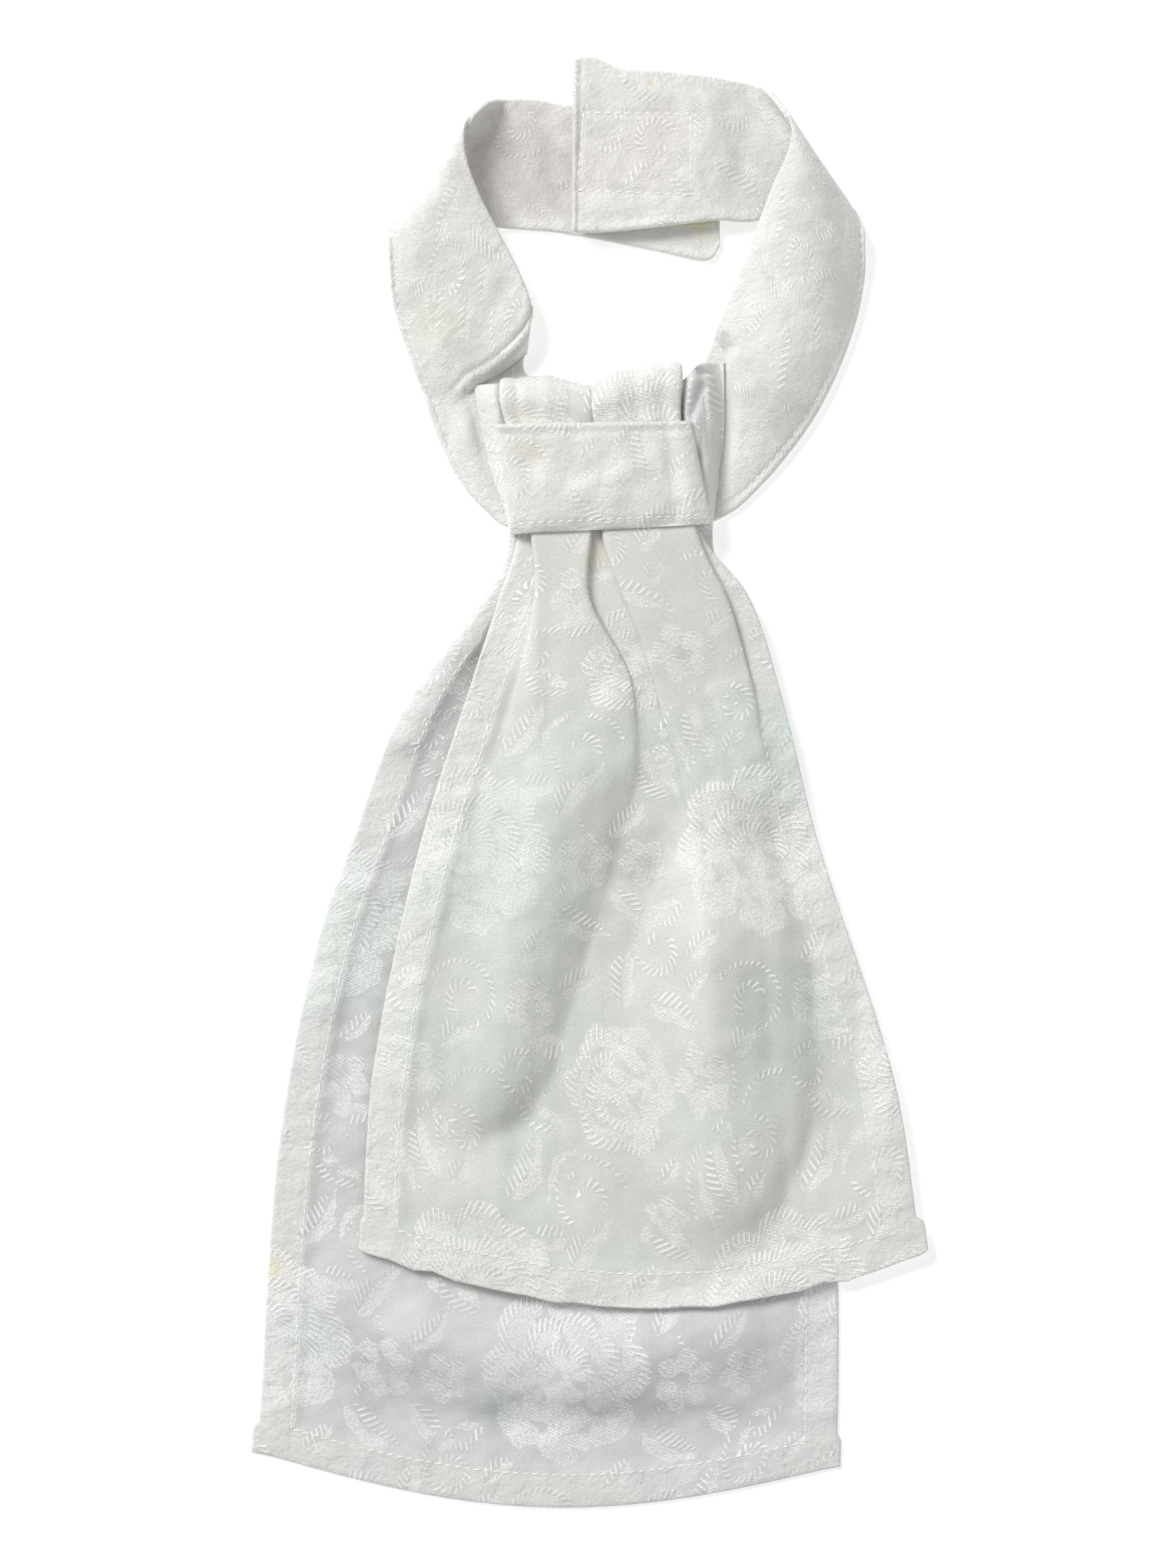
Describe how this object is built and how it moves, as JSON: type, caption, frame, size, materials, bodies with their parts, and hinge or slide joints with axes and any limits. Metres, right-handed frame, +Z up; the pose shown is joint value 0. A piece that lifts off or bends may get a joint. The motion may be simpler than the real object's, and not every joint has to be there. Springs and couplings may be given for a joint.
{
  "type": "ready-tied cravat",
  "caption": "Ready-tied cravat in pale floral jacquard, laid flat: folded neckband with a nape closure, a knot band and two pleated tails, the front one shorter.",
  "frame": {"origin": "middle of the outline, on the surface that the cravat lies on", "axes": "+Y from the tails to the nape closure, +X to the right as seen from above, +Z up"},
  "size_m": [0.204, 0.4457, 0.0141],
  "materials": {
    "jacquard": "satin",
    "tape": "matte"
  },
  "bodies": {
    "root": {"neckband": "jacquard", "back_tail": "jacquard", "front_tail": "jacquard", "knot_band": "jacquard", "loop_patch": "tape", "hook_patch": "tape"}
  },
  "joints": []
}
